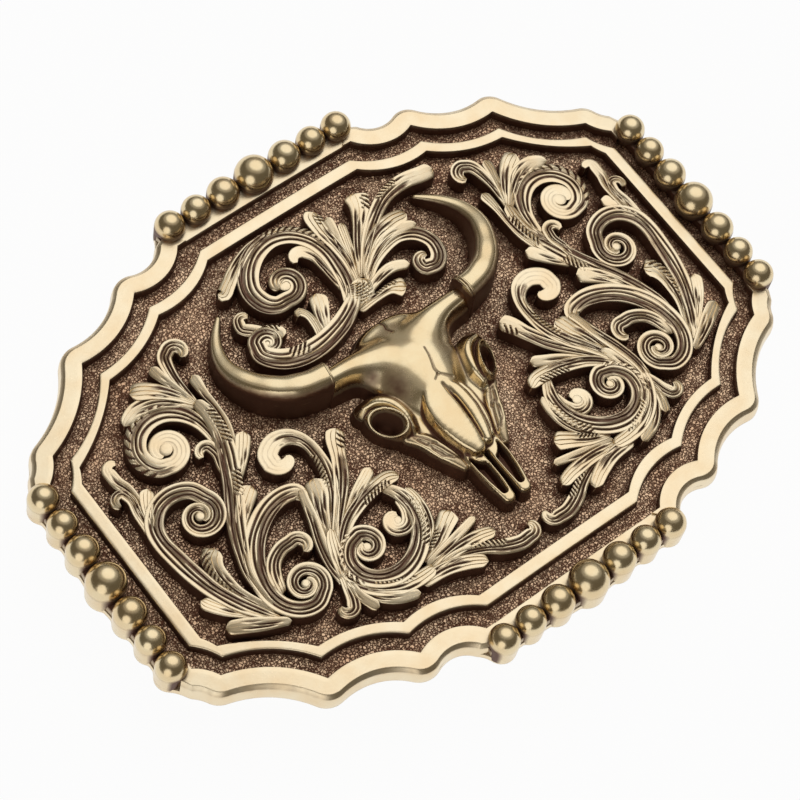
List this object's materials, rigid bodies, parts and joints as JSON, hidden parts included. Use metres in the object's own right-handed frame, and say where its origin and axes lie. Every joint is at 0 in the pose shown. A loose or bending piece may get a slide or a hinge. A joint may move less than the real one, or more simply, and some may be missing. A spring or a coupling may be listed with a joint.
{
  "type": "belt buckle",
  "caption": "Curved western belt buckle with a scalloped edge, beaded rims, scrollwork and a raised longhorn skull, and on its back a swinging strap bail and a fixed hook.",
  "frame": {"origin": "under the middle of the plate, at the level of the hook's lowest point", "axes": "+Z out of the buckle's face, +X along its length from the bail towards the hook, +Y towards its top as it is worn"},
  "size_m": [0.101, 0.0752, 0.0163],
  "materials": {
    "satin_gold": "satin, with dark antiquing in the recesses",
    "polished": "highly polished, olive gold",
    "stippled": "finely stippled and antiqued brown",
    "plain": "plain satin"
  },
  "bodies": {
    "plate": {"base_plate": "stippled", "bead_rail_top": "satin_gold", "bead_rail_right": "satin_gold", "bead_rail_bottom": "satin_gold", "bead_rail_left": "satin_gold", "bead_top_1": "polished", "bead_top_2": "polished", "bead_top_3": "polished", "bead_top_4": "polished", "bead_top_5": "polished", "bead_top_6": "polished", "bead_top_7": "polished", "bead_right_1": "polished", "bead_right_2": "polished", "bead_right_3": "polished", "bead_right_4": "polished", "bead_right_5": "polished", "bead_right_6": "polished", "bead_right_7": "polished", "bead_bottom_1": "polished", "bead_bottom_2": "polished", "bead_bottom_3": "polished", "bead_bottom_4": "polished", "bead_bottom_5": "polished", "bead_bottom_6": "polished", "bead_bottom_7": "polished", "bead_left_1": "polished", "bead_left_2": "polished", "bead_left_3": "polished", "bead_left_4": "polished", "bead_left_5": "polished", "bead_left_6": "polished", "bead_left_7": "polished", "outer_rim_top_left": "satin_gold", "outer_rim_top_right": "satin_gold", "outer_rim_bottom_left": "satin_gold", "outer_rim_bottom_right": "satin_gold", "inner_rim": "satin_gold", "scroll_left": "satin_gold", "scroll_right": "satin_gold", "scroll_crown": "satin_gold", "skull": "polished", "horn_left": "polished", "horn_right": "polished", "hinge_barrel": "plain", "hook_foot": "plain", "hook": "plain"},
    "bail": {"bail": "plain"}
  },
  "joints": [
    {"name": "bail_swing", "type": "hinge", "parent": "plate", "child": "bail", "pos_m": [-0.02, 0, 0.00569], "axis": [0, -1, 0], "range_deg": [0, 180]}
  ]
}
